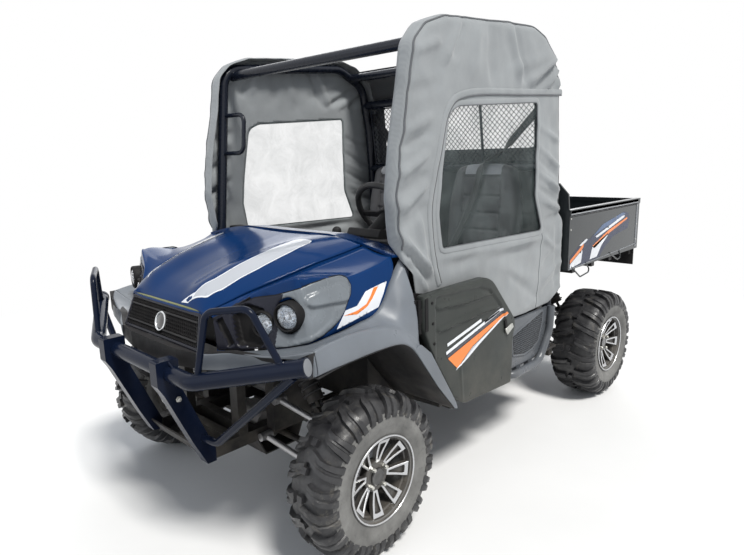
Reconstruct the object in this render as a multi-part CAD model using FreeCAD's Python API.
import FreeCAD, Part
import math
import os

# Side-by-side utility vehicle: open roll cage, soft cab sides and a tipping cargo bed.
# Millimetres. The front faces -Y, the driver's side is +X and the ground is Z = 0.

# Clearances
SEAT = 0.3
SEAM = 6.0

# Wheels
WHEELBASE = 2060.0
TYRE_RADIUS = 320.0
BEAD_RADIUS = 152.0
FLANGE_RADIUS = 168.0
BARREL_RADIUS = 140.0
FLANGE_WIDTH = 8.0
FRONT_TRACK_HALF = 691.0
REAR_TRACK_HALF = 665.0
FRONT_TYRE_WIDTH = 230.0
REAR_TYRE_WIDTH = 280.0
SPOKE_PAIRS = 8
SPOKE_WIDTH = 12.0
SPOKE_DEPTH = 26.0
SPOKE_SPREAD = 16.0
NUT_RADIUS = 10.0
NUT_CIRCLE = 46.0
NUTS = 4
TREAD_STEPS = 32
TREAD_DEPTH = 18.0
TREAD_RIB = 9.0
HUB_RADIUS = 58.0
CAP_RADIUS = 33.0
AXLE_RADIUS = 24.0

# Suspension
KINGPIN_X = 575.0
UPRIGHT_REAR_X = 520.0
UPRIGHT_RADIUS = 58.0
UPRIGHT_BORE = 40.0
UPRIGHT_HALF_WIDTH = 23.0
POST_HALF = 18.0
BALL_ABOVE = 85.0
BALL_RADIUS = 20.0
BALL_HEIGHT = 32.0
ARM_RADIUS = 13.0
BUSH_RADIUS = 17.0
BUSH_HALF_LENGTH = 28.0
ARM_SPREAD_LOW = 120.0
ARM_SPREAD_HIGH = 80.0
SHAFT_RADIUS = 14.0
BOOT_RADIUS = 30.0
SHOCK_RADIUS = 34.0
RACK_RADIUS = 10.0
RACK_HOUSING = 24.0
ARM_BEHIND = 125.0
ARM_ABOVE = 64.0

# Frame
RAIL_X = 200.0
RAIL_WIDTH = 50.0
RAIL_LOW = 345.0
RAIL_HEIGHT = 50.0
RAIL_FRONT = -1380.0
RAIL_BEHIND = 270.0
TOP_RAIL_X = 250.0
TOP_RAIL_HIGH = 754.7
TOP_RAIL_HEIGHT = 54.0
PLATE = 6.0

# Cab
FLOOR_THICK = 14.0
FLOOR_HALF = 660.0
FOOTWELL_HALF = 400.0
PANEL = 8.0
CAGE_X = 640.0
CAGE_RADIUS = 25.0
CAGE_CLEAR = 3.0
DASH_HALF = 612.0
SEAT_BOX_HIGH = 740.0
CUSHION_HIGH = 860.0
SOFT_SIDE = 14.0
SOFT_WRAP = 12.0
SOFT_WRAP_IN = 602.0
VINYL = 4.0
DOOR_IN = 697.0
DOOR_OUT = 735.0
FENDER_OUT = 758.0
LINER_IN = 408.3

# Steering wheel
STEER_X = 330.0
STEER_Y = -470.0
STEER_Z = 1215.0
STEER_LEAN = 35.0
STEER_RING = 166.0
STEER_RIM = 13.0

# Bull bar
BAR_RADIUS = 30.0
LEG_X = 215.0
LEG_WIDTH = 50.0
HOOP_RADIUS = 12.0
BRACE_RADIUS = 15.0

# Cargo bed
BED_HALF = 712.0
BED_FRONT = 562.0
BED_REAR = 1585.0
BED_LOW = 838.0
BED_FLOOR = 850.0
BED_HIGH = 1165.0
BED_WALL = 12.0
BED_RAIL = 32.0
BED_HINGE_IN = 205.0
BED_HINGE_Z = 780.0
HINGE_PIN = 10.0
GATE_HINGE_Z = 860.0
GATE_HINGE_IN = 8.0
GATE_PIN = 7.7
GATE_POST = 28.0

# Hitch receiver
HITCH_SIZE = 64.0
HITCH_SOCKET = 51.0
HITCH_Z = 370.0
HITCH_BEHIND = 150.0
HITCH_PIN = 8.0

FRONT_AXLE = -WHEELBASE / 2.0
REAR_AXLE = WHEELBASE / 2.0
AXLE_Z = TYRE_RADIUS
GATE_HALF = BED_HALF - GATE_POST
GATE_HINGE_Y = BED_REAR - GATE_HINGE_IN
BED_HINGE_Y = BED_REAR - BED_HINGE_IN
RAIL_REAR = REAR_AXLE + RAIL_BEHIND
HITCH_MOUTH = RAIL_REAR + HITCH_BEHIND
RAIL_HIGH = RAIL_LOW + RAIL_HEIGHT
RAIL_OUT = RAIL_X + RAIL_WIDTH / 2.0
FLOOR_LOW = RAIL_HIGH + SEAT
FLOOR_HIGH = FLOOR_LOW + FLOOR_THICK
SOFT_IN = CAGE_X + CAGE_RADIUS + SEAT
SOFT_OUT = SOFT_IN + SOFT_SIDE
TINY = 1e-4

V = FreeCAD.Vector


# Drawing helpers

def spot(plane, u, v, w):
    """A point of a plane across one axis, w along that axis."""
    if plane == "x":
        return V(w, u, v)
    if plane == "y":
        return V(u, w, v)
    return V(u, v, w)


def corner_cut(before, point, after, radius):
    """Start, middle and end of the arc that rounds a corner."""
    back = (before - point).normalize()
    onward = (after - point).normalize()
    half = back.getAngle(onward) / 2.0
    run = radius / math.tan(half)
    bisector = (back + onward).normalize()
    middle = point + bisector * (radius / math.sin(half) - radius)
    return point + back * run, middle, point + onward * run


def rounded_wire(corners, closed):
    """Straight runs joined by tangent arcs; each corner is a point and its radius."""
    edges = []
    first = None
    last = None
    for i, (point, radius) in enumerate(corners):
        plain = radius == 0 or (not closed and i in (0, len(corners) - 1))
        arc = None
        start = point
        end = point
        if not plain:
            onward = corners[(i + 1) % len(corners)][0]
            start, middle, end = corner_cut(corners[i - 1][0], point, onward, radius)
            arc = Part.Arc(start, middle, end).toShape()
        if last is not None and last.distanceToPoint(start) > TINY:
            edges.append(Part.makeLine(last, start))
        if arc:
            edges.append(arc)
        first = first or start
        last = end
    if closed and last.distanceToPoint(first) > TINY:
        edges.append(Part.makeLine(last, first))
    return Part.Wire(edges)


def plate(points, plane, low, high):
    """A flat outline, its corners rounded where a third number is given, made thick."""
    corners = [(spot(plane, p[0], p[1], low), p[2] if len(p) > 2 else 0) for p in points]
    face = Part.Face(rounded_wire(corners, True))
    return face.extrude(spot(plane, 0, 0, high - low))


def block(x0, x1, y0, y1, z0, z1):
    """A box between two corners."""
    return Part.makeBox(x1 - x0, y1 - y0, z1 - z0, V(x0, y0, z0))


def rod(start, end, radius):
    """A round bar between two points."""
    a = V(*start)
    run = V(*end) - a
    return Part.makeCylinder(radius, run.Length, a, run)


def tube(points, radius, bend):
    """A bent round tube; a fourth number on a point is its own bend radius."""
    corners = [(V(*p[:3]), p[3] if len(p) > 3 else bend) for p in points]
    path = rounded_wire(corners, False)
    start = corners[0][0]
    profile = Part.Wire(Part.makeCircle(radius, start, corners[1][0] - start))
    return path.makePipeShell([profile], True, False)


def offset_line(points, distance):
    """An open line moved sideways to its right."""
    result = []
    last = len(points) - 1
    for i, (u, v) in enumerate(points):
        here = V(u, v, 0)
        runs = []
        if i > 0:
            runs.append((here - V(*points[i - 1], 0)).normalize())
        if i < last:
            runs.append((V(*points[i + 1], 0) - here).normalize())
        normals = [V(run.y, -run.x, 0) for run in runs]
        share = distance / (1.0 + normals[0].dot(normals[-1]))
        shift = (normals[0] + normals[-1]) * share
        result.append((u + shift.x, v + shift.y))
    return result


def strip(points, thickness, plane, low, high):
    """An open line thickened to its right and made wide."""
    return plate(points + offset_line(points, thickness)[::-1], plane, low, high)


def skin(rows, thickness):
    """A panel through cross-sections: each row is its Y and the (x, z) points across it."""
    wires = []
    for y, points in rows:
        ring = points + offset_line(points, thickness)[::-1]
        corners = [V(x, y, z) for x, z in ring]
        wires.append(Part.makePolygon(corners + corners[:1]))
    return Part.makeLoft(wires, True, True)


def fuse(shapes):
    """One solid of several that overlap or share a face."""
    return shapes[0].multiFuse(shapes[1:]).removeSplitter()


def mirrored(shape):
    """The same piece on the other side."""
    return shape.mirror(V(0, 0, 0), V(1, 0, 0))


def pair(shape):
    """The piece on both sides."""
    return [shape, mirrored(shape)]


def save(node, shapes):
    """Write one node; its solids are separate where there are several."""
    solids = [solid for shape in shapes for solid in shape.Solids]
    for solid in solids:
        if not solid.isValid() or solid.Volume <= 0:
            raise ValueError(node + " has an unsound solid")
    shape = solids[0] if len(solids) == 1 else Part.makeCompound(solids)
    shape.exportStep("parts/" + node + ".step")
    print(node, len(solids), round(sum(s.Volume for s in solids) / 1e6, 2))


# Wheels

# Each wheel: name, side, axle Y, centre X, tyre width, flange out, flange in, cap face, hub face
WHEELS = (
    ("fl", 1, FRONT_AXLE, FRONT_TRACK_HALF, FRONT_TYRE_WIDTH, 103.0, -85.0, 70.0, KINGPIN_X),
    ("fr", -1, FRONT_AXLE, FRONT_TRACK_HALF, FRONT_TYRE_WIDTH, 103.0, -85.0, 70.0, KINGPIN_X),
    ("rl", 1, REAR_AXLE, REAR_TRACK_HALF, REAR_TYRE_WIDTH, 122.0, -115.0, 84.0, UPRIGHT_REAR_X),
    ("rr", -1, REAR_AXLE, REAR_TRACK_HALF, REAR_TYRE_WIDTH, 122.0, -115.0, 84.0, UPRIGHT_REAR_X),
)


def turned(points):
    """A ring turned about the X axis; each point is its x, its radius and a rounding."""
    corners = [(V(p[0], p[1], 0), p[2] if len(p) > 2 else 0) for p in points]
    face = Part.Face(rounded_wire(corners, True))
    return face.revolve(V(0, 0, 0), V(1, 0, 0), 360)


def tyre_profile(half, bead_in, bead_out, inner, outer):
    """Section of a tyre from bead to bead; 1 raises the lug of its inner or outer half."""
    low = (BEAD_RADIUS + SEAT) / math.cos(math.pi / TREAD_STEPS)
    wall_low = FLANGE_RADIUS + 34.0
    wall_high = TYRE_RADIUS - 66.0
    lug_edge = TYRE_RADIUS - 14.0
    shoulder = half - 10.0
    crown = half - 26.0
    rows = []
    for side, lug in ((-1, inner), (1, outer)):
        drop = (1 - lug) * TREAD_DEPTH
        rows.append([(side * shoulder, wall_low), (side * (shoulder + (half - shoulder) * lug), wall_high),
                     (side * crown, lug_edge - drop), (side * (crown - 14.0), TYRE_RADIUS - drop),
                     (side * TREAD_RIB, TYRE_RADIUS - drop), (side * TREAD_RIB, TYRE_RADIUS)])
    ends = ([(bead_in, low), (bead_in, FLANGE_RADIUS + 4.0)], [(bead_out, FLANGE_RADIUS + 4.0), (bead_out, low)])
    return ends[0] + rows[0] + rows[1][::-1] + ends[1]


def flat_face(points):
    """A face through points, the doubled ones left out; nothing where fewer than three are left."""
    ring = []
    for point in points:
        if all(point.distanceToPoint(other) > TINY for other in ring):
            ring.append(point)
    if len(ring) < 3:
        return []
    return [Part.Face(Part.makePolygon(ring + ring[:1]))]


def tyre(width, flange_out, flange_in):
    """A tyre whose lugs alternate between its two halves, made of flat faces."""
    bead_out = flange_out - FLANGE_WIDTH - SEAT
    bead_in = flange_in + FLANGE_WIDTH + SEAT
    sections = []
    for i in range(TREAD_STEPS):
        inner = i % 2
        profile = tyre_profile(width / 2.0, bead_in, bead_out, inner, 1 - inner)
        for step in (i, i + 1):
            angle = 2.0 * math.pi * step / TREAD_STEPS
            sections.append([V(x, r * math.sin(angle), r * math.cos(angle)) for x, r in profile])
    faces = []
    for i, here in enumerate(sections):
        onward = sections[(i + 1) % len(sections)]
        for j in range(len(here)):
            k = (j + 1) % len(here)
            faces += flat_face([here[j], here[k], onward[k], onward[j]])
    shell = Part.makeShell(faces)
    shell.sewShape()
    return Part.makeSolid(shell.Shells[0])


def rim(flange_out, flange_in, cap_face, hub_start):
    """A wheel: barrel, flanges, paired spokes, hub and cap, open for its axle."""
    step_out = flange_out - FLANGE_WIDTH
    step_in = flange_in + FLANGE_WIDTH
    barrel = turned((
        (flange_in, BARREL_RADIUS), (flange_in, FLANGE_RADIUS), (step_in, FLANGE_RADIUS),
        (step_in, BEAD_RADIUS), (step_out, BEAD_RADIUS), (step_out, FLANGE_RADIUS),
        (flange_out, FLANGE_RADIUS), (flange_out, BEAD_RADIUS), (cap_face, BARREL_RADIUS)))
    spoke_back = cap_face - SPOKE_DEPTH
    hub = rod((spoke_back - 10.0, 0, 0), (cap_face - 8.0, 0, 0), HUB_RADIUS)
    cap = rod((spoke_back, 0, 0), (cap_face, 0, 0), CAP_RADIUS)
    sleeve = rod((hub_start, 0, 0), (spoke_back, 0, 0), UPRIGHT_BORE)
    reach = (BARREL_RADIUS + BEAD_RADIUS) / 2.0
    spokes = []
    for i in range(SPOKE_PAIRS):
        for side in (-1, 1):
            middle = side * SPOKE_SPREAD
            bar = block(spoke_back, cap_face - 4.0, middle - SPOKE_WIDTH / 2.0,
                        middle + SPOKE_WIDTH / 2.0, CAP_RADIUS, reach)
            bar.rotate(V(0, 0, 0), V(1, 0, 0), 360.0 * i / SPOKE_PAIRS)
            spokes.append(bar)
    for i in range(NUTS):
        angle = 2.0 * math.pi * (i + 0.5) / NUTS
        y = NUT_CIRCLE * math.sin(angle)
        z = NUT_CIRCLE * math.cos(angle)
        hexagon = Part.makePolygon([V(cap_face - 12.0, y + NUT_RADIUS * math.cos(k * math.pi / 3.0),
                                      z + NUT_RADIUS * math.sin(k * math.pi / 3.0)) for k in range(7)])
        spokes.append(Part.Face(hexagon).extrude(V(16.0, 0, 0)))
    axle = rod((hub_start - 1.0, 0, 0), (spoke_back, 0, 0), AXLE_RADIUS + SEAT)
    return fuse([barrel, hub, cap, sleeve] + spokes).cut(axle)


def wheels():
    """All four tyres and rims in place."""
    for name, side, axle, centre, width, out, inward, cap, upright in WHEELS:
        hub_start = upright + UPRIGHT_HALF_WIDTH + SEAT - centre
        place = V(centre, axle, AXLE_Z)
        for node, shape in (("tyre", tyre(width, out, inward)),
                            ("rim", rim(out, inward, cap, hub_start))):
            shape.translate(place)
            save(node + "_" + name, [shape if side > 0 else mirrored(shape)])


# Axle carriers and suspension

def upright(centre_x, wheel_x, cap_face):
    """Ring round the drive shaft, posts to the ball joints and the wheel's axle."""
    low = centre_x - UPRIGHT_HALF_WIDTH
    high = centre_x + UPRIGHT_HALF_WIDTH
    ring = rod((low, 0, 0), (high, 0, 0), UPRIGHT_RADIUS)
    posts = block(centre_x - POST_HALF, centre_x + POST_HALF, -POST_HALF, POST_HALF,
                  -BALL_ABOVE, BALL_ABOVE)
    bore = rod((low - 1.0, 0, 0), (centre_x + 12.0, 0, 0), UPRIGHT_BORE)
    axle_end = wheel_x + cap_face - SPOKE_DEPTH - SEAT
    axle = rod((centre_x + 12.0, 0, 0), (axle_end, 0, 0), AXLE_RADIUS)
    return fuse([ring, posts, axle]).cut(bore)


def knuckle():
    """Front upright with its steering arm, turning about the kingpin."""
    body = upright(KINGPIN_X, FRONT_TRACK_HALF, 70.0)
    arm = plate(((12.0, -10.0), (12.0, 10.0), (ARM_BEHIND + 8.0, 8.0), (ARM_BEHIND + 8.0, -8.0)),
                "x", KINGPIN_X - 30.0, KINGPIN_X - 15.0)
    arm.translate(V(0, 0, ARM_ABOVE))
    shape = fuse([body, arm])
    shape.translate(V(0, FRONT_AXLE, AXLE_Z))
    return shape


def wishbone(axle, inner_x, inner_z, outer_x, spread, housing_low, tip_above):
    """Two tubes from their bushes on the frame to one ball joint housing."""
    tip = (outer_x - 6.0, axle, housing_low + tip_above)
    shapes = [rod((outer_x, axle, housing_low), (outer_x, axle, housing_low + BALL_HEIGHT),
                  BALL_RADIUS)]
    for side in (-1, 1):
        y = axle + side * spread
        shapes.append(rod((inner_x, y, inner_z), tip, ARM_RADIUS))
        shapes.append(rod((inner_x, y - BUSH_HALF_LENGTH, inner_z),
                          (inner_x, y + BUSH_HALF_LENGTH, inner_z), BUSH_RADIUS))
    return fuse(shapes)


TOWER_X = 275.0
LOW_BUSH_X = RAIL_OUT + BUSH_RADIUS + SEAT
HIGH_BUSH_X = TOWER_X + BUSH_RADIUS + SEAT
LOW_BUSH_Z = RAIL_LOW + BUSH_RADIUS
HIGH_BUSH_Z = 520.0
LOW_BALL_Z = AXLE_Z - BALL_ABOVE - BALL_HEIGHT - SEAT
HIGH_BALL_Z = AXLE_Z + BALL_ABOVE + SEAT


def arms(axle, outer_x):
    """Upper and lower wishbones of one axle, both sides."""
    low = wishbone(axle, LOW_BUSH_X, LOW_BUSH_Z, outer_x, ARM_SPREAD_LOW, LOW_BALL_Z, 7.0)
    high = wishbone(axle, HIGH_BUSH_X, HIGH_BUSH_Z, outer_x, ARM_SPREAD_HIGH, HIGH_BALL_Z,
                    BALL_HEIGHT / 2.0)
    return pair(low) + pair(high)


def rear_carriers():
    """Rear uprights, which don't steer."""
    shape = upright(UPRIGHT_REAR_X, REAR_TRACK_HALF, 84.0)
    shape.translate(V(0, REAR_AXLE, AXLE_Z))
    return pair(shape)


SHOCK_EYE = 16.0
SHOCK_EYE_HALF = 20.0
SHOCK_TOP_X = 316.0
SHOCK_TOP_Z = 702.0
SHOCK_LOW_X = 452.0
SHOCK_LOW_Z = 492.0


def shock(axle):
    """Coil-over damper standing on the upper wishbone."""
    low = V(SHOCK_LOW_X, axle, SHOCK_LOW_Z)
    high = V(SHOCK_TOP_X, axle, SHOCK_TOP_Z)
    run = high - low
    shapes = [rod(low, high, 9.0)]
    shapes.append(rod(low + run * 0.16, low + run * 0.84, SHOCK_RADIUS))
    for eye in (low, high):
        shapes.append(rod((eye.x, eye.y - SHOCK_EYE_HALF, eye.z),
                          (eye.x, eye.y + SHOCK_EYE_HALF, eye.z), SHOCK_EYE))
    return pair(fuse(shapes))


def drive_shafts(axle, outer_x):
    """Drive shafts with their boots, from the gearcase to inside the uprights."""
    shapes = [rod((GEARCASE_HALF + SEAT, axle, AXLE_Z), (outer_x - 30.0, axle, AXLE_Z), SHAFT_RADIUS)]
    shapes.append(rod((outer_x - 30.0, axle, AXLE_Z), (outer_x - 4.0, axle, AXLE_Z), 22.0))
    for start, end in ((GEARCASE_HALF + 8.0, GEARCASE_HALF + 50.0), (outer_x - 100.0, outer_x - 56.0)):
        shapes.append(rod((start, axle, AXLE_Z), (end, axle, AXLE_Z), BOOT_RADIUS))
    return pair(fuse(shapes))


GEARCASE_HALF = 100.0
GEARCASE_RADIUS = 72.0


def gearcase():
    """Front gearcase between the drive shafts, hung from the first cross-member."""
    body = rod((-GEARCASE_HALF, FRONT_AXLE, AXLE_Z), (GEARCASE_HALF, FRONT_AXLE, AXLE_Z), GEARCASE_RADIUS)
    top = block(-60.0, 60.0, FRONT_AXLE - 40.0, FRONT_AXLE + 40.0, AXLE_Z, RAIL_HIGH - SEAT)
    return fuse([body, top])


# Steering gear

RACK_Y = FRONT_AXLE + ARM_BEHIND - 8.0
RACK_Z = RAIL_HIGH + SEAT + RACK_HOUSING
RACK_HOUSING_HALF = RAIL_OUT - 10.0
RACK_HALF = 300.0
TIE_ROD_END = KINGPIN_X - 40.0


def steering_rack():
    """Housing that the rack slides in, its feet on the two rails."""
    half = RACK_HOUSING_HALF
    shapes = [rod((-half, RACK_Y, RACK_Z), (half, RACK_Y, RACK_Z), RACK_HOUSING)]
    foot = block(RAIL_X - RAIL_WIDTH / 2.0, half, RACK_Y - RACK_HOUSING, RACK_Y + RACK_HOUSING,
                 RAIL_HIGH + SEAT, RACK_Z)
    shapes += pair(foot)
    pinion_x = STEER_X - 190.0
    shapes.append(rod((pinion_x, RACK_Y, RACK_Z), (pinion_x, RACK_Y + 30.0, RACK_Z + 60.0), 14.0))
    bore = rod((-half - 1.0, RACK_Y, RACK_Z), (half + 1.0, RACK_Y, RACK_Z), RACK_RADIUS + SEAT)
    return fuse(shapes).cut(bore)


def tie_rods():
    """Sliding rack bar with the tie rods at its ends."""
    shapes = [rod((-RACK_HALF, RACK_Y, RACK_Z), (RACK_HALF, RACK_Y, RACK_Z), RACK_RADIUS)]
    joint = rod((RACK_HALF - 16.0, RACK_Y, RACK_Z), (RACK_HALF + 16.0, RACK_Y, RACK_Z), RACK_RADIUS + 6.0)
    link = rod((RACK_HALF, RACK_Y, RACK_Z), (TIE_ROD_END, RACK_Y, AXLE_Z + ARM_ABOVE), RACK_RADIUS - 2.0)
    return fuse(shapes + pair(joint) + pair(link))


# Frame

TOP_RAIL_FRONT = 600.0
TOP_RAIL_REAR = BED_HINGE_Y - 20.0


TOWER_HIGH = 735.0
TOWER_FOOT = LOW_BUSH_Z + BUSH_RADIUS + 4.0
MEMBER = 40.0
MEMBER_Y = (-1300.0, FRONT_AXLE - 170.0, FRONT_AXLE + 170.0, -420.0, 60.0, 520.0, 560.0,
            REAR_AXLE - 130.0, RAIL_REAR - MEMBER)
OUTRIGGER_Y = (-420.0, 60.0, 520.0)
TOP_POST_Y = (TOP_RAIL_FRONT + 20.0, TOP_RAIL_REAR - 100.0)
FRONT_BEAM_Y = -1262.0
FRONT_BEAM_LOW = 700.0
FRONT_BEAM_HALF = 560.0
HINGE_EAR_X = TOP_RAIL_X + RAIL_WIDTH / 2.0 + 5.0
HINGE_EAR = 12.0


def tower(axle):
    """Upright plate for the upper wishbone, and the damper's two ears."""
    wide = 98.0
    narrow = 40.0
    waist = 560.0
    outline = ((axle - wide, TOWER_FOOT), (axle + wide, TOWER_FOOT), (axle + wide, waist),
               (axle + narrow, TOWER_HIGH), (axle - narrow, TOWER_HIGH), (axle - wide, waist))
    shapes = [plate(outline, "x", RAIL_OUT, TOWER_X)]
    for side in (-1, 1):
        near = axle + side * (SHOCK_EYE_HALF + SEAT)
        far = axle + side * (SHOCK_EYE_HALF + SEAT + PLATE)
        shapes.append(block(TOWER_X, SHOCK_TOP_X + 18.0, min(near, far), max(near, far),
                            SHOCK_TOP_Z - 22.0, TOWER_HIGH))
    return shapes


def bed_hinge_ear():
    """Bracket beside the top rail with the pin that the bed tips on."""
    low = TOP_RAIL_HIGH - TOP_RAIL_HEIGHT
    end = HINGE_EAR_X + HINGE_EAR
    ear = block(HINGE_EAR_X, end, TOP_RAIL_REAR - 60.0, BED_HINGE_Y + 24.0, low, BED_HINGE_Z + 24.0)
    foot = block(TOP_RAIL_X + RAIL_WIDTH / 2.0, end, TOP_RAIL_REAR - 60.0, TOP_RAIL_REAR - 15.0, low,
                 TOP_RAIL_HIGH - 10.0)
    pin = rod((TOP_RAIL_X - RAIL_WIDTH / 2.0, BED_HINGE_Y, BED_HINGE_Z), (end, BED_HINGE_Y, BED_HINGE_Z), HINGE_PIN)
    return fuse([ear, foot, pin])


def frame():
    """Two rails, cross-members, suspension towers and bed carrier, each bar its own solid."""
    half = RAIL_WIDTH / 2.0
    inner = RAIL_X - half
    top_low = TOP_RAIL_HIGH - TOP_RAIL_HEIGHT
    top_in = TOP_RAIL_X - half
    top_out = TOP_RAIL_X + half
    one_side = [block(inner, RAIL_OUT, RAIL_FRONT, RAIL_REAR, RAIL_LOW, RAIL_HIGH)]
    one_side += tower(FRONT_AXLE) + tower(REAR_AXLE)
    one_side.append(block(top_in, top_out, TOP_RAIL_FRONT, TOP_RAIL_REAR, top_low, TOP_RAIL_HIGH))
    one_side.append(bed_hinge_ear())
    one_side.append(block(inner, RAIL_OUT, FRONT_BEAM_Y, FRONT_BEAM_Y + MEMBER, RAIL_HIGH, FRONT_BEAM_LOW))
    for y in TOP_POST_Y:
        one_side.append(block(top_in, top_out, y, y + MEMBER, RAIL_LOW, top_low))
    for y in OUTRIGGER_Y:
        one_side.append(block(RAIL_OUT, FLOOR_HALF - 20.0, y, y + MEMBER, RAIL_LOW, RAIL_HIGH))
    shapes = []
    for part in one_side:
        shapes += pair(part)
    for y in MEMBER_Y:
        shapes.append(block(-inner, inner, y, y + MEMBER, RAIL_LOW, RAIL_HIGH))
    shapes.append(block(-top_in, top_in, TOP_RAIL_REAR - 60.0, TOP_RAIL_REAR - 20.0, top_low, TOP_RAIL_HIGH - 8.0))
    shapes.append(block(-FRONT_BEAM_HALF, FRONT_BEAM_HALF, FRONT_BEAM_Y, FRONT_BEAM_Y + MEMBER,
                        FRONT_BEAM_LOW, FRONT_BEAM_LOW + MEMBER))
    return shapes


HITCH_FRONT = MEMBER_Y[-1] + MEMBER
HITCH_DEPTH = 140.0
HITCH_PIN_IN = 45.0


def hitch():
    """Receiver behind the last cross-member: a square socket with its pin's hole."""
    size = HITCH_SIZE / 2.0
    socket = HITCH_SOCKET / 2.0
    shape = block(-size, size, HITCH_FRONT, HITCH_MOUTH, HITCH_Z - size, HITCH_Z + size)
    hole = block(-socket, socket, HITCH_MOUTH - HITCH_DEPTH, HITCH_MOUTH + 1.0, HITCH_Z - socket, HITCH_Z + socket)
    pin_y = HITCH_MOUTH - HITCH_PIN_IN
    pin_hole = rod((-size - 1.0, pin_y, HITCH_Z), (size + 1.0, pin_y, HITCH_Z), HITCH_PIN)
    return shape.cut(hole).cut(pin_hole)


def skid_plate():
    """Plate under the front of the frame, dropped to pass below the gearcase."""
    low = RAIL_LOW - PLATE - SEAT
    dip = AXLE_Z - GEARCASE_RADIUS - PLATE - SEAT
    line = [(-1428.0, low + 62.0), (-1388.0, low), (-1160.0, low), (-1115.0, dip), (-945.0, dip),
            (-900.0, low), (-760.0, low)]
    return strip(line, -PLATE, "x", -RAIL_X + 15.0, RAIL_X - 15.0)


ENGINE_HALF = 165.0
ENGINE_AHEAD = 380.0
ENGINE_HIGH = 690.0


def engine():
    """Engine and transaxle as one plain block at its place."""
    block_part = block(-ENGINE_HALF, ENGINE_HALF, REAR_AXLE - ENGINE_AHEAD, REAR_AXLE + 60.0, RAIL_HIGH + SEAT,
                       ENGINE_HIGH)
    case = block(-GEARCASE_HALF, GEARCASE_HALF, REAR_AXLE - 75.0, REAR_AXLE + 75.0, AXLE_Z - 62.0,
                 RAIL_HIGH + 20.0)
    return fuse([block_part, case])


# Roll cage

# Side hoop of the cage: y, z, bend radius
CAGE_SIDE = (
    (-772.0, 735.0, 0.0),
    (-650.0, 1935.0, 110.0),
    (175.0, 2007.0, 150.0),
    (375.0, 1908.0, 120.0),
    (432.0, 1640.0, 300.0),
    (470.0, 1180.0, 400.0),
    (470.0, FLOOR_HIGH + SEAT, 0.0),
)
# Tubes across the cage: y, z
CAGE_CROSS = ((-600.0, 1903.0), (275.0, 1957.5), (398.0, 1800.0), (452.0, 1400.0))


def cage_side(radius):
    """One side hoop, also used thicker to clear what it passes."""
    return tube([(CAGE_X, y, z, bend) for y, z, bend in CAGE_SIDE], radius, 0)


def cage():
    """Side hoops, cross tubes, feet and the passenger's grab handle."""
    side = cage_side(CAGE_RADIUS)
    shapes = pair(side)
    for y, z in CAGE_CROSS:
        shapes.append(rod((-CAGE_X, y, z), (CAGE_X, y, z), CAGE_RADIUS - 1.0))
    foot = block(CAGE_X - 24.0, CAGE_X, -772.0, -712.0 - SEAT, 740.0, 800.0)
    shapes += pair(foot)
    handle = tube([(-CAGE_X, -672.0, 1700.0), (-478.0, -656.0, 1700.0), (-478.0, -672.0, 1508.0),
                   (-CAGE_X, -692.0, 1508.0)], 11.0, 40.0)
    shapes.append(handle)
    return fuse(shapes)


# Cab

def cowl_height(x):
    """Top of the cowl across the car, at its front edge."""
    across = abs(x)
    if across <= 290.0:
        return 1158.0 + 2.0 * across / 290.0
    if across <= 484.0:
        return 1160.0 - 24.0 * (across - 290.0) / 194.0
    return 1136.0 - 34.0 * (across - 484.0) / 158.0


COWL_X = (0.0, 290.0, 484.0, 642.0)
COWL_FRONT = -800.0
COWL_REAR = -700.0
COWL_DROP = 8.0
COWL_THICK = 10.0
HOOD_AXIS_Y = -803.0
HOOD_AXIS_Z = 1151.0
HOOD_BARREL = 4.0
HOOD_BARREL_X = (170.0, 230.0)


def symmetric(points):
    """A row of (x, z) points from the centre outwards, drawn from side to side."""
    left = [(-x, z) for x, z in points[::-1] if x > 0]
    return left + list(points)


def cowl():
    """Band between the hood and the cab, with the barrels of the hood's hinge."""
    rows = []
    for y, drop in ((COWL_FRONT, 0.0), (COWL_REAR, COWL_DROP)):
        rows.append((y, symmetric([(x, cowl_height(x) - drop) for x in COWL_X])))
    shape = skin(rows, COWL_THICK)
    clear = cage_side(CAGE_RADIUS + CAGE_CLEAR)
    for part in pair(clear):
        shape = shape.cut(part)
    for side in (-1, 1):
        low, high = sorted((side * HOOD_BARREL_X[0], side * HOOD_BARREL_X[1]))
        shape = shape.fuse(rod((low, HOOD_AXIS_Y, HOOD_AXIS_Z), (high, HOOD_AXIS_Y, HOOD_AXIS_Z), HOOD_BARREL))
    return shape


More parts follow.
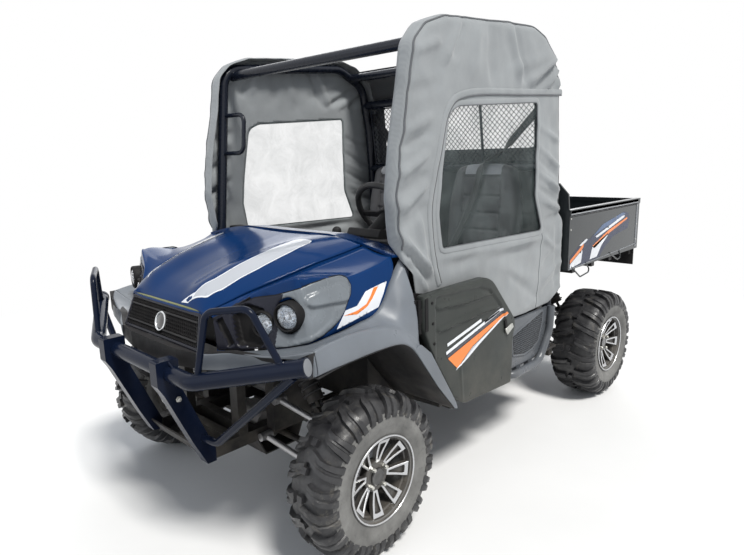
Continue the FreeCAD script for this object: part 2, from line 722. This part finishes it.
def floor_tub():
    """Floor, footwell sides, firewall and the box under the seats."""
    pan = plate(symmetric_ring([(FOOTWELL_HALF, -712.0), (FOOTWELL_HALF, -548.0), (FLOOR_HALF, -530.0),
                                (FLOOR_HALF, 560.0)]), "z", FLOOR_HIGH - FLOOR_THICK, FLOOR_HIGH)
    well = plate(((-712.0, FLOOR_HIGH - 1.0), (-548.0, FLOOR_HIGH - 1.0), (-548.0, 428.0), (-664.0, 566.0),
                  (-712.0, 632.0)), "x", FOOTWELL_HALF, FOOTWELL_HALF + PANEL)
    top = [(x, cowl_height(x) - COWL_THICK - COWL_DROP - 4.0) for x in (0.0, 290.0, 484.0, 610.0)]
    wall = plate(symmetric_ring([(FOOTWELL_HALF + PANEL, FLOOR_HIGH - 1.0), (FOOTWELL_HALF + PANEL, 735.0),
                                 (CAGE_X, 735.0), (CAGE_X, 1060.0), (610.0, 1070.0)] + top[::-1]),
                 "y", -712.0, -700.0)
    shapes = [pan, wall] + pair(well)
    shapes.append(block(-CAGE_X + 40.0, CAGE_X - 40.0, 20.0, 30.0, FLOOR_HIGH - 1.0, SEAT_BOX_HIGH))
    shapes.append(block(-CAGE_X + 40.0, CAGE_X - 40.0, 430.0, 440.0, FLOOR_HIGH - 1.0, SEAT_BOX_HIGH))
    shapes.append(block(-CAGE_X + 40.0, CAGE_X - 40.0, 20.0, 440.0, SEAT_BOX_HIGH - 10.0, SEAT_BOX_HIGH))
    return fuse(shapes)


def symmetric_ring(points):
    """A closed outline from its points on one side."""
    return list(points) + [(-p[0],) + tuple(p[1:]) for p in points[::-1] if p[0] != 0]


def dashboard():
    """Dash, steering column and shift lever."""
    half = DASH_HALF
    body = plate(((-700.0 + SEAT, 1128.0), (-610.0, 1122.0, 12.0), (-560.0, 1060.0, 20.0), (-575.0, 930.0, 20.0),
                  (-640.0, 890.0, 10.0), (-700.0 + SEAT, 890.0)), "x", -half, half)
    lean = math.radians(STEER_LEAN)
    axis = V(0, math.cos(lean), math.sin(lean))
    hub = V(STEER_X, STEER_Y, STEER_Z)
    column = rod(hub - axis * 190.0, hub - axis * (22.0 + SEAT), 30.0)
    lever = rod((-66.0, -600.0, 1010.0), (-66.0, -430.0, 1105.0), 8.0)
    knob = Part.makeSphere(24.0, V(-66.0, -425.0, 1108.0))
    return fuse([body, column, lever, knob])


def steering_wheel():
    """Ring, three spokes and hub, tilted towards the driver."""
    ring = Part.makeTorus(STEER_RING, STEER_RIM)
    hub = rod((0, 0, -22.0), (0, 0, 16.0), 42.0)
    shapes = [ring, hub]
    for angle in (0.0, 90.0, 180.0):
        spoke = block(20.0, STEER_RING, -14.0, 14.0, -6.0, 4.0)
        spoke.rotate(V(0, 0, 0), V(0, 0, 1), angle)
        shapes.append(spoke)
    shape = fuse(shapes)
    shape.rotate(V(0, 0, 0), V(1, 0, 0), -(90.0 - STEER_LEAN))
    shape.translate(V(STEER_X, STEER_Y, STEER_Z))
    return shape


SEAT_INNER = 70.0
SEAT_OUTER = 560.0


def seat_cushions():
    """Plain cushions of the two seats."""
    cushion = block(SEAT_INNER, SEAT_OUTER, -70.0, 400.0, SEAT_BOX_HIGH + SEAT, CUSHION_HIGH)
    return pair(cushion.makeFillet(25.0, cushion.Edges))


def seat_backs():
    """Plain backs of the two seats."""
    back = plate(((250.0, CUSHION_HIGH + SEAT), (318.0, 1425.0, 30.0), (405.0, 1437.0, 30.0),
                  (395.0, CUSHION_HIGH + SEAT)), "x", SEAT_INNER + 5.0, SEAT_OUTER - 5.0)
    return pair(back)


# Half-door outline: y, z, corner radius
DOOR = (
    (-728.0, 938.0, 12.0),
    (-535.0, 942.0, 60.0),
    (-255.0, 943.0, 130.0),
    (-24.0, 690.0, 90.0),
    (-42.0, 600.0, 30.0),
    (-42.0, 480.0, 20.0),
    (-50.0, 383.0, 14.0),
    (-440.0, 402.0, 50.0),
    (-525.0, 461.0, 40.0),
    (-690.0, 715.0, 60.0),
    (-728.0, 800.0, 40.0),
)
DOOR_AXIS_X = 722.0
DOOR_AXIS_Y = -740.0
DOOR_BARREL = 9.0
DOOR_LEAF_EDGE = -716.0
# Hinge barrels on the fender side: low and high z
DOOR_BARRELS = ((790.0, 830.0), (890.0, 925.0))


def hinge_barrel(low, high):
    """A stretch of the door's hinge barrel."""
    return rod((DOOR_AXIS_X, DOOR_AXIS_Y, low), (DOOR_AXIS_X, DOOR_AXIS_Y, high), DOOR_BARREL)


# Pressed ribs and the latch's paddle on the door: y, z
DOOR_RIBS = (
    ((-659.0, 910.0), (-333.0, 915.0), (-216.0, 857.0), (-655.0, 876.0)),
    ((-642.0, 806.0), (-249.0, 847.0), (-161.0, 794.0), (-639.0, 772.0)),
    ((-167.0, 706.0), (-132.0, 715.0), (-60.0, 668.0), (-119.0, 640.0)),
)
DOOR_RIB = 5.0


def door():
    """Lower half-door with its ribs and the leaf and barrel of its hinge."""
    low = DOOR_BARRELS[0][1] + SEAT
    high = DOOR_BARRELS[1][0] - SEAT
    leaf = block(DOOR_AXIS_X - 6.0, DOOR_AXIS_X + 6.0, DOOR_AXIS_Y, DOOR_LEAF_EDGE, low, high)
    shapes = [plate(DOOR, "x", DOOR_IN, DOOR_OUT), hinge_barrel(low, high), leaf]
    for points in DOOR_RIBS:
        rounded = [point + (6.0,) for point in points]
        shapes.append(plate(rounded, "x", DOOR_OUT - 1.0, DOOR_OUT + DOOR_RIB))
    return fuse(shapes)


# Soft cab side outline: y, z
SOFT = (
    (-560.0, 700.0),
    (-700.0, 930.0),
    (-715.0, 1020.0),
    (-768.0, 1070.0),
    (-790.0, 1170.0),
    (-806.0, 1310.0),
    (-783.0, 1500.0),
    (-735.0, 1720.0),
    (-706.0, 1890.0),
    (-637.0, 1961.0),
    (-515.0, 2004.0),
    (-53.0, 2043.0),
    (172.0, 2053.0),
    (299.0, 2023.0),
    (417.0, 1930.0),
    (462.0, 1772.0),
    (487.0, 1501.0),
    (508.0, 1305.0),
    (508.0, 1171.0),
    (545.0, 1100.0),
    (545.0, 735.0),
    (420.0, 684.0),
    (160.0, 676.0),
)
SOFT_WRAP_FIRST = 4
SOFT_WRAP_LAST = 18
# Clear vinyl window: y, z, corner radius
WINDOW = (
    (-537.0, 1096.0, 20.0),
    (-560.0, 1236.0, 60.0),
    (-540.0, 1393.0, 200.0),
    (-492.0, 1640.0, 70.0),
    (-420.0, 1668.0, 40.0),
    (227.0, 1712.0, 20.0),
    (228.0, 1266.0, 90.0),
    (307.0, 1085.0, 20.0),
)


def shrunk(points, distance):
    """A closed outline pulled in all round, running clockwise as the ones here do."""
    count = len(points)
    result = []
    for i in range(count):
        line = [points[i - 1][:2], points[i][:2], points[(i + 1) % count][:2]]
        middle = offset_line(line, distance)[1]
        result.append(middle + tuple(points[i][2:]))
    return result


def soft_side():
    """Fabric side of the cab, wrapped over the cage, open for its window."""
    sheet = plate(SOFT, "x", SOFT_IN, SOFT_OUT)
    opening = plate(WINDOW, "x", SOFT_IN - 1.0, SOFT_OUT + 1.0)
    line = list(SOFT[SOFT_WRAP_FIRST:SOFT_WRAP_LAST + 1])
    wrap = strip(line, SOFT_WRAP, "x", SOFT_WRAP_IN, SOFT_IN + 1.0)
    return fuse([sheet.cut(opening), wrap])


def side_window():
    """Vinyl window that fills the opening in the fabric."""
    return plate(shrunk(WINDOW, SEAT), "x", SOFT_IN + 4.0, SOFT_IN + 4.0 + VINYL)


# Rear curtain, from its top edge down: y, z
CURTAIN = [(300.0, 1990.0), (404.0, 1925.0), (452.0, 1790.0), (499.0, 1200.0), (499.0, 760.0)]
CURTAIN_THICK = 8.0
REAR_WINDOW_HALF = 540.0
REAR_WINDOW_LOW = 1436.0
REAR_WINDOW_HIGH = 1756.0


def rear_curtain():
    """Fabric behind the seats, between the wrapped sides, open for its window."""
    half = SOFT_WRAP_IN - SEAT
    sheet = strip(CURTAIN, -CURTAIN_THICK, "x", -half, half)
    hole = block(-REAR_WINDOW_HALF, REAR_WINDOW_HALF, 380.0, 560.0, REAR_WINDOW_LOW, REAR_WINDOW_HIGH)
    return sheet.cut(hole)


def rear_window():
    """Vinyl window of the rear curtain."""
    sheet = strip(offset_line(CURTAIN, -2.0), -VINYL, "x", -REAR_WINDOW_HALF + SEAT, REAR_WINDOW_HALF - SEAT)
    keep = block(-CAGE_X, CAGE_X, 380.0, 560.0, REAR_WINDOW_LOW + SEAT, REAR_WINDOW_HIGH - SEAT)
    return sheet.common(keep)


SCREEN_HALF = 600.0
SCREEN_BORDER = 24.0
SCREEN_THICK = 4.0
SCREEN_COLUMNS = 9
SCREEN_ROWS = 3
SCREEN_STRAND = 10.0


def rear_screen():
    """Wire screen between the two rear cross tubes, its diamonds cut through."""
    (y_high, z_high), (y_low, z_low) = CAGE_CROSS[2:]
    lean = math.degrees(math.atan2(y_low - y_high, z_high - z_low))
    length = math.hypot(y_low - y_high, z_high - z_low)
    half = length / 2.0 - CAGE_RADIUS - SEAT + 1.0
    middle = SCREEN_THICK / 2.0
    shape = block(-SCREEN_HALF, SCREEN_HALF, -middle, middle, -half, half)
    wide = 2.0 * (SCREEN_HALF - SCREEN_BORDER) / SCREEN_COLUMNS
    tall = 2.0 * (half - SCREEN_BORDER) / SCREEN_ROWS
    holes = []
    for i in range(SCREEN_COLUMNS):
        for j in range(SCREEN_ROWS):
            x = -SCREEN_HALF + SCREEN_BORDER + wide * (i + 0.5)
            z = -half + SCREEN_BORDER + tall * (j + 0.5)
            a = wide / 2.0 - SCREEN_STRAND / 2.0
            b = tall / 2.0 - SCREEN_STRAND / 2.0
            holes.append(plate(((x - a, z), (x, z + b), (x + a, z), (x, z - b)), "y", -middle - 1.0, middle + 1.0))
    shape = shape.cut(Part.makeCompound(holes))
    shape.rotate(V(0, 0, 0), V(1, 0, 0), lean)
    shape.translate(V(0, (y_high + y_low) / 2.0, (z_high + z_low) / 2.0))
    return shape


# Front body

# Hood: y, then x and z of crown, crest, flank and edge
HOOD = (
    (-1402.0, (0.0, 957.0), (160.0, 962.0), (225.0, 962.0), (268.0, 951.0)),
    (-1345.0, (0.0, 1004.0), (185.0, 1032.0), (262.0, 998.0), (308.0, 970.0)),
    (-1200.0, (0.0, 1058.0), (205.0, 1086.0), (295.0, 1050.0), (364.0, 1024.0)),
    (-1000.0, (0.0, 1108.0), (240.0, 1130.0), (345.0, 1110.0), (430.0, 1084.0)),
    (-806.0, (0.0, 1150.0), (285.0, 1155.0), (390.0, 1150.0), (478.0, 1130.0)),
)
# Body beside the hood: y, then x and z of shoulder and lower edge
CORNER = (
    (-1388.0, (304.0, 925.0), (316.0, 800.0)),
    (-1345.0, (342.0, 954.0), (404.0, 809.0)),
    (-1280.0, (420.0, 1015.0), (560.0, 835.0)),
    (-1222.0, (560.0, 1070.0), (628.0, 850.0)),
    (-1200.0, (578.0, 1071.0), (634.0, 854.0)),
    (-1148.0, (600.0, 1071.0), (645.0, 862.0)),
    (-1000.0, (613.0, 1050.0), (648.0, 880.0)),
    (-868.0, (628.0, 1072.0), (645.0, 890.0)),
    (-802.0, (638.0, 1096.0), (645.0, 1036.0)),
)
HOOD_GAP = 9.0
CORNER_DROP = 5.0
# Back edge of the lamp pod, seen from the side: y, z
POD_BACK = ((-1018.0, 1120.0), (-1000.0, 985.0), (-1040.0, 905.0), (-1092.0, 700.0))
POD_FRONT = -1392.0
POD_THICK = 46.0
# Fender: y, then x and z of crease and lip
FENDER = (
    (-1290.0, (738.0, 866.0), (752.0, 788.0)),
    (-1280.0, (738.0, 868.0), (752.0, 789.0)),
    (-1222.0, (739.0, 878.0), (755.0, 794.0)),
    (-1200.0, (739.0, 880.0), (756.0, 796.0)),
    (-1148.0, (740.0, 884.0), (758.0, 799.0)),
    (-1000.0, (740.0, 873.0), (758.0, 803.0)),
    (-868.0, (740.0, 842.0), (758.0, 790.0)),
    (-802.0, (739.0, 800.0), (757.0, 742.0)),
)
# Back end of the fender: y, then x and z of inner edge, crease and lip
FENDER_END = (-756.0, (644.0, 1090.0), (737.0, 760.0), (756.0, 695.0))
FENDER_FRONT = FENDER[0][0]
# Wheel arch lip seen from the side: y, z
ARCH = [(-1290.0, 776.0), (-1181.0, 792.0), (-1039.0, 797.0), (-910.0, 796.0), (-841.0, 775.0),
        (-769.0, 698.0), (-663.0, 557.0), (-544.0, 422.0)]
FENDER_TAIL = ((-802.0, 745.0), (-766.0, 760.0), (-706.0, 710.0), (-540.0, 454.0),
               (-524.0, 416.0), (-544.0, 424.0), (-663.0, 559.0), (-769.0, 700.0))
LINER = 6.0


def along(rows, y, column):
    """The (x, z) point of one column of a table of rows, between its stations."""
    for first, second in zip(rows, rows[1:]):
        if y <= second[0]:
            break
    share = (y - first[0]) / (second[0] - first[0])
    a = first[column]
    b = second[column]
    return a[0] + (b[0] - a[0]) * share, a[1] + (b[1] - a[1]) * share


def hood():
    """Hood with two raised ridges, notched for its hinge."""
    shape = skin([(row[0], symmetric(row[1:])) for row in HOOD], PANEL)
    for side in (-1, 1):
        low, high = sorted((side * (HOOD_BARREL_X[0] - 2.0), side * (HOOD_BARREL_X[1] + 2.0)))
        shape = shape.cut(rod((low, HOOD_AXIS_Y, HOOD_AXIS_Z), (high, HOOD_AXIS_Y, HOOD_AXIS_Z), HOOD_BARREL + SEAT))
    return shape


def pod_room(gap):
    """The side view of the lamp pod, its back edge moved back by a gap."""
    back = [(y + gap, z) for y, z in POD_BACK]
    return plate([(POD_FRONT, back[-1][1]), (POD_FRONT, back[0][1])] + back, "x", 200.0, 700.0)


def shoulder_rows():
    """Rows of the panel between the hood's edge and the shoulder."""
    rows = []
    for y, shoulder, _ in CORNER:
        x, z = along(HOOD, y, 4)
        rows.append((y, [(x + HOOD_GAP, z - CORNER_DROP), shoulder]))
    return rows


def lamp_room():
    """Room for the lamps in what surrounds them."""
    axis = lamp_axis() * 90.0
    rods = [rod(V(x, y, z) - axis, V(x, y, z) + axis, radius + SEAT) for x, y, z, radius in LAMPS]
    return Part.makeCompound(rods)


def side_panel():
    """Panel beside the hood, its side cut away for the lamp pod."""
    top = skin(shoulder_rows(), PANEL)
    side = skin([(row[0], list(row[1:])) for row in CORNER], PANEL)
    return fuse([top, side.cut(pod_room(SEAT))]).cut(lamp_room())


# Each lamp: x, y, z, radius
LAMPS = ((568.0, -1254.0, 944.0, 52.0), (470.0, -1300.0, 905.0, 50.0))
LAMP_TURN = 16.0
LAMP_OUT = 26.0
LAMP_IN = 30.0


def lamp_axis():
    """Direction that the lamps face."""
    turn = math.radians(LAMP_TURN)
    return V(math.sin(turn), -math.cos(turn), 0)


def lamp(x, y, z, radius):
    """A lamp: body, bezel and domed lens."""
    axis = lamp_axis()
    centre = V(x, y, z)
    body = rod(centre - axis * LAMP_IN, centre + axis * LAMP_OUT, radius)
    dome = Part.makeSphere(radius * 1.6, centre + axis * (LAMP_OUT - radius * 1.25))
    lens = dome.common(rod(centre, centre + axis * (LAMP_OUT + radius), radius - 6.0))
    return fuse([body, lens])


def lamp_pod():
    """Housing at the corner of the body, open for its two lamps."""
    shape = skin([(row[0], list(row[1:])) for row in CORNER], POD_THICK).common(pod_room(0))
    for thickness in (PANEL + 2.0 * SEAT, -POD_THICK):
        shape = shape.cut(skin(shoulder_rows(), thickness))
    shape = shape.cut(lamp_room())
    return max(shape.Solids, key=lambda solid: solid.Volume)


def fender():
    """Gray fender with its wheel-arch liner and the tail in front of the door."""
    rows = []
    for y, crease, lip in FENDER:
        x, z = along(CORNER, y, 2)
        rows.append((y, [(x, z - SEAT), crease, lip]))
    rows.append((FENDER_END[0], list(FENDER_END[1:])))
    upper = skin(rows, PANEL)
    liner = strip(ARCH, -LINER, "x", LINER_IN, FENDER_OUT - 4.0)
    tail = plate(FENDER_TAIL, "x", 716.0, FENDER_OUT - 2.0)
    shape = fuse([upper, liner, tail])
    shape = shape.cut(cage_side(CAGE_RADIUS + CAGE_CLEAR))
    for low, high in DOOR_BARRELS:
        arm = block(DOOR_AXIS_X - 40.0, DOOR_AXIS_X, DOOR_AXIS_Y - 50.0, DOOR_AXIS_Y, low, high)
        shape = fuse([shape, hinge_barrel(low, high), arm])
    return shape


NOSE_DEPTH = 28.0
NOSE_HIGH = 806.0
# Nose band in plan: x, y, low z, high z
NOSE = (
    (0.0, -1480.0, 736.0, NOSE_HIGH),
    (180.0, -1476.0, 741.0, NOSE_HIGH),
    (300.0, -1456.0, 749.0, NOSE_HIGH),
    (424.0, -1405.0, 764.0, 826.0),
    (560.0, -1370.0, 764.0, 826.0),
    (690.0, -1332.0, 766.0, 838.0),
    (740.0, FENDER_FRONT - NOSE_DEPTH - SEAT, 778.0, 862.0),
)


def nose():
    """Band below the grille that runs round to the fenders."""
    wires = []
    for x, y, low, high in [(-r[0],) + r[1:] for r in NOSE[:0:-1]] + list(NOSE):
        corners = [V(x, y, low), V(x, y, high), V(x, y + NOSE_DEPTH, high), V(x, y + NOSE_DEPTH, low)]
        wires.append(Part.makePolygon(corners + corners[:1]))
    return Part.makeLoft(wires, True, True)


GRILLE_LOW = NOSE_HIGH + SEAT
GRILLE_HIGH = HOOD[0][4][1] - PANEL - SEAM
GRILLE_LOW_HALF = 296.0
GRILLE_HIGH_HALF = 262.0
GRILLE_LOW_Y = -1452.0
GRILLE_HIGH_Y = -1412.0
GRILLE_DEPTH = 26.0
GRILLE_BORDER = 14.0
GRILLE_BAR = 6.0
GRILLE_BARS = 5
GRILLE_POSTS = 7
GRILLE_POST_PITCH = 66.0


def grille_slab(low, high, inset, back, thick):
    """A slab of the leaning grille between two heights."""
    wires = []
    for z in (low, high):
        share = (z - GRILLE_LOW) / (GRILLE_HIGH - GRILLE_LOW)
        half = GRILLE_LOW_HALF + (GRILLE_HIGH_HALF - GRILLE_LOW_HALF) * share - inset
        y = GRILLE_LOW_Y + (GRILLE_HIGH_Y - GRILLE_LOW_Y) * share + back
        corners = [V(-half, y, z), V(half, y, z), V(half, y + thick, z), V(-half, y + thick, z)]
        wires.append(Part.makePolygon(corners + corners[:1]))
    return Part.makeLoft(wires, True, True)


def grille():
    """Leaning surround with bars across and upright in the opening."""
    low = GRILLE_LOW + GRILLE_BORDER
    high = GRILLE_HIGH - GRILLE_BORDER
    outer = grille_slab(GRILLE_LOW, GRILLE_HIGH, 0.0, 0.0, GRILLE_DEPTH)
    opening = grille_slab(low, high, GRILLE_BORDER, -10.0, GRILLE_DEPTH + 20.0)
    shapes = [outer.cut(opening)]
    pitch = (high - low) / (GRILLE_BARS + 1)
    half = GRILLE_BAR / 2.0
    for i in range(GRILLE_BARS):
        z = low + pitch * (i + 1)
        shapes.append(grille_slab(z - half, z + half, GRILLE_BORDER - 2.0, 8.0, 10.0))
    posts = grille_slab(low - 2.0, high + 2.0, 0.0, 10.0, 6.0)
    for i in range(GRILLE_POSTS):
        x = (i - (GRILLE_POSTS - 1) / 2.0) * GRILLE_POST_PITCH
        shapes.append(posts.common(block(x - half, x + half, GRILLE_LOW_Y, HOOD[0][0] + 100.0, low - 2.0, high + 2.0)))
    return fuse(shapes)


# Bull bar

# Main tube: x, y, z
BAR = ((-768.0, -1346.0, 834.0), (-377.0, -1533.0, 740.0), (377.0, -1533.0, 740.0), (768.0, -1346.0, 834.0))
LEG = ((-1585.0, 790.0, 6.0), (-1500.0, 790.0, 6.0), (-1500.0, 700.0), (-1490.0, 660.0), (-1424.0, 500.0),
       (RAIL_FRONT - SEAT, 396.0), (RAIL_FRONT - SEAT, 345.0), (-1418.0, 345.0), (-1470.0, 450.0),
       (-1562.0, 660.0), (-1585.0, 700.0))
HOOP = ((398.0, -1523.0, 742.0), (448.0, -1500.0, 990.0), (592.0, -1428.0, 1012.0), (690.0, -1383.0, 820.0))
BRACE = ((200.0, -1430.0, 455.0), (318.0, -1418.0, 455.0), (724.0, -1368.0, 800.0))


BAR_CAP = 14.0
# Gusset between the leg and the main tube: x, z
GUSSET = ((238.0, 786.0), (300.0, 752.0), (300.0, 742.0), (238.0, 700.0))
GUSSET_Y = -1540.0


def bull_bar():
    """Main tube with its end caps and gussets, legs down to the frame, lamp hoops and lower braces."""
    shapes = [tube(BAR, BAR_RADIUS, 110.0)]
    end = V(*BAR[-1])
    cap_run = (end - V(*BAR[-2])).normalize() * BAR_CAP
    cap = Part.makeCylinder(BAR_RADIUS + 2.5, BAR_CAP, end - cap_run, cap_run)
    shapes += pair(cap)
    for side in (-1, 1):
        shapes.append(plate(GUSSET, "y", GUSSET_Y, GUSSET_Y + PLATE) if side > 0 else
                      mirrored(plate(GUSSET, "y", GUSSET_Y, GUSSET_Y + PLATE)))
        shapes.append(plate(LEG, "x", side * LEG_X - LEG_WIDTH / 2.0, side * LEG_X + LEG_WIDTH / 2.0))
        hoop = [(side * x, y, z) for x, y, z in HOOP]
        shapes.append(tube(hoop, HOOP_RADIUS, 45.0))
        brace = [(side * x, y, z) for x, y, z in BRACE]
        shapes.append(tube(brace, BRACE_RADIUS, 70.0))
    return fuse(shapes)


# Rocker

ROCKER_X = 704.0
ROCKER_RADIUS = 20.0
ROCKER_LOW = 392.0
# Rocker tube from behind the door down and forwards: x, y, z, bend radius
ROCKER = (
    (ROCKER_X, 399.0, 672.0, 0.0),
    (ROCKER_X, 386.0, 540.0, 120.0),
    (ROCKER_X, 278.0, ROCKER_LOW, 110.0),
    (ROCKER_X, 4.0, ROCKER_LOW, 40.0),
    (FLOOR_HALF + SEAT, 4.0, ROCKER_LOW, 0.0),
)
# Vented panel under the seat: y, z
ROCKER_PLATE = ((-60.0, 420.0), (-60.0, 668.0), (396.0, 668.0), (384.0, 545.0), (310.0, 440.0), (250.0, 420.0))
ROCKER_PLATE_X = 674.0
ROCKER_PLATE_THICK = 14.0
ROCKER_SLOTS = 5
ROCKER_SLOT_PITCH = 34.0
ROCKER_SLOT_WIDTH = 14.0
ROCKER_SLOT_FRONT = (40.0, 500.0)
ROCKER_SLOT_LENGTH = 230.0
ROCKER_BRACKET = 40.0


def rocker():
    """Tube below and behind the door, with the vented panel under the seat."""
    shapes = [tube(ROCKER, ROCKER_RADIUS, 0)]
    panel = plate(ROCKER_PLATE, "x", ROCKER_PLATE_X, ROCKER_PLATE_X + ROCKER_PLATE_THICK)
    y, z = ROCKER_SLOT_FRONT
    for i in range(ROCKER_SLOTS):
        low = z + ROCKER_SLOT_PITCH * i
        slot = plate(((y, low, 6.0), (y, low + ROCKER_SLOT_WIDTH, 6.0), (y + ROCKER_SLOT_LENGTH, low + ROCKER_SLOT_WIDTH, 6.0),
                      (y + ROCKER_SLOT_LENGTH, low, 6.0)), "x", ROCKER_PLATE_X - 1.0, ROCKER_PLATE_X + 99.0)
        panel = panel.cut(slot)
    shapes.append(panel)
    for y in (80.0, 200.0):
        end = y + ROCKER_BRACKET
        shapes.append(block(FLOOR_HALF + SEAT, ROCKER_X - 10.0, y, end, ROCKER_LOW - 12.0, ROCKER_LOW + 12.0))
        shapes.append(block(ROCKER_PLATE_X, ROCKER_PLATE_X + 12.0, y, end, ROCKER_LOW, 430.0))
    return fuse(shapes)


# Cargo bed

SILL_HALF = 25.0
CHANNEL = 40.0
CHANNELS = 3
BED_END = BED_REAR - 32.0
CHANNEL_PITCH = (BED_END - BED_FRONT - CHANNEL) / (CHANNELS + 0.7)


# Tie-down hooks below the bed's sides: y, z
BED_HOOKS = (
    ((603.0, BED_LOW + 14.0), (720.0, 779.0), (858.0, 792.0), (782.0, BED_LOW + 14.0)),
    ((1121.0, BED_LOW + 26.0), (1255.0, 805.0), (1310.0, 812.0), (1270.0, BED_LOW + 26.0)),
)
HOOK_RADIUS = 4.0
HOOK_OUT = 1.0


def bed():
    """Floor, sides, headboard, top rails and the pins of the tailgate."""
    inner = BED_HALF - BED_WALL
    shapes = [block(-inner - 1.0, inner + 1.0, BED_FRONT + 4.0, BED_END, BED_FLOOR, BED_FLOOR + PANEL)]
    head = plate(symmetric_ring([(707.0, BED_LOW), (707.0, 1144.0), (698.0, 1252.0), (643.0, 1310.0)]),
                 "y", BED_FRONT, BED_FRONT + BED_WALL)
    shapes.append(head)
    side = [block(inner, BED_HALF, BED_FRONT, BED_REAR - 4.0, BED_LOW, BED_HIGH)]
    rail_out = BED_HALF + 4.0
    side.append(block(rail_out - BED_RAIL, rail_out, BED_FRONT, BED_REAR, BED_HIGH - 30.0, BED_HIGH + 4.0))
    side.append(block(GATE_HALF + SEAM, BED_HALF, BED_REAR - 40.0, BED_REAR, BED_LOW, BED_HIGH))
    side.append(rod((GATE_HALF - 90.0, GATE_HINGE_Y, GATE_HINGE_Z), (BED_HALF - 4.0, GATE_HINGE_Y, GATE_HINGE_Z),
                    GATE_PIN))
    for hook in BED_HOOKS:
        side.append(tube([(BED_HALF + HOOK_OUT, y, z) for y, z in hook], HOOK_RADIUS, 16.0))
    for part in side:
        shapes += pair(part)
    return fuse(shapes)


def bed_subframe():
    """Sills that rest on the top rails, with the hinge's eyes, and the channels under the floor."""
    sill = block(TOP_RAIL_X - SILL_HALF, TOP_RAIL_X + SILL_HALF, TOP_RAIL_FRONT, BED_END - CHANNEL,
                 TOP_RAIL_HIGH + SEAT, BED_FLOOR)
    eye = rod((TOP_RAIL_X - 30.0, BED_HINGE_Y, BED_HINGE_Z), (TOP_RAIL_X + 30.0, BED_HINGE_Y, BED_HINGE_Z),
              HINGE_PIN + SEAT)
    shapes = pair(sill.cut(eye))
    low = BED_FLOOR - CHANNEL
    inner = BED_HALF - BED_WALL
    for i in range(CHANNELS):
        y = BED_FRONT + CHANNEL_PITCH * (i + 0.3)
        shapes.append(block(-TOP_RAIL_X + SILL_HALF, TOP_RAIL_X - SILL_HALF, y, y + CHANNEL, low, BED_FLOOR))
        shapes += pair(block(TOP_RAIL_X + SILL_HALF, inner, y, y + CHANNEL, low, BED_FLOOR))
    end = GATE_HALF + SEAM - 2.0
    shapes.append(block(-end, end, BED_END - CHANNEL, BED_END, BED_FLOOR - 50.0, BED_FLOOR))
    return shapes


def tailgate():
    """Tailgate with a folded top edge and two pressed panels."""
    low = GATE_HINGE_Z + GATE_PIN + SEAT
    face = block(-GATE_HALF, GATE_HALF, BED_REAR - 23.0, BED_REAR - 3.0, low, BED_HIGH)
    edge = block(-GATE_HALF, GATE_HALF, BED_REAR - 25.0, BED_REAR, BED_HIGH - 26.0, BED_HIGH + 2.0)
    shape = fuse([face, edge])
    for side in (-1, 1):
        press = plate(((side * 60.0, low + 60.0, 20.0), (side * 60.0, BED_HIGH - 70.0, 20.0),
                       (side * 600.0, BED_HIGH - 70.0, 20.0), (side * 600.0, low + 60.0, 20.0)),
                      "y", BED_REAR - 9.0, BED_REAR + 1.0)
        shape = shape.cut(press)
    return shape


TAIL_LOW = 727.0


def tail_panel():
    """Panel that hangs below the back of the bed, with a lamp housing at each end."""
    front = BED_END + SEAT
    back = front + PANEL
    shapes = [block(-BED_HALF + 10.0, BED_HALF - 10.0, front, back, TAIL_LOW, BED_LOW - SEAT)]
    for side in (-1, 1):
        low, high = sorted((side * 520.0, side * 660.0))
        shapes.append(block(low, high, back - 1.0, back + 14.0, 752.0, 822.0))
    return fuse(shapes)


def main():
    os.makedirs("parts", exist_ok=True)
    wheels()
    front_knuckle = knuckle()
    save("knuckle_left", [front_knuckle])
    save("knuckle_right", [mirrored(front_knuckle)])
    save("front_arms", arms(FRONT_AXLE, KINGPIN_X))
    save("rear_arms", arms(REAR_AXLE, UPRIGHT_REAR_X) + rear_carriers())
    save("shocks", shock(FRONT_AXLE) + shock(REAR_AXLE))
    save("drive_shafts", drive_shafts(FRONT_AXLE, KINGPIN_X) + drive_shafts(REAR_AXLE, UPRIGHT_REAR_X))
    save("gearcase", [gearcase()])
    save("steering_rack", [steering_rack()])
    save("tie_rods", [tie_rods()])
    save("frame", frame())
    save("hitch", [hitch()])
    save("skid_plate", [skid_plate()])
    save("engine", [engine()])
    save("cage", [cage()])
    save("cowl", [cowl()])
    save("floor_tub", [floor_tub()])
    save("dashboard", [dashboard()])
    save("steering_wheel", [steering_wheel()])
    save("seat_cushions", seat_cushions())
    save("seat_backs", seat_backs())
    half_door = door()
    save("door_left", [half_door])
    save("door_right", [mirrored(half_door)])
    save("soft_sides", pair(soft_side()))
    save("side_windows", pair(side_window()))
    save("rear_curtain", [rear_curtain()])
    save("rear_window", [rear_window()])
    save("rear_screen", [rear_screen()])
    save("hood", [hood()])
    save("side_panels", pair(side_panel()))
    save("lamp_pods", pair(lamp_pod()))
    lamps = [lamp(*row) for row in LAMPS]
    save("headlamps", lamps + [mirrored(shape) for shape in lamps])
    save("fenders", pair(fender()))
    save("nose", [nose()])
    save("grille", [grille()])
    save("bull_bar", [bull_bar()])
    save("rockers", pair(rocker()))
    save("bed", [bed()])
    save("bed_subframe", bed_subframe())
    save("tailgate", [tailgate()])
    save("tail_panel", [tail_panel()])


main()
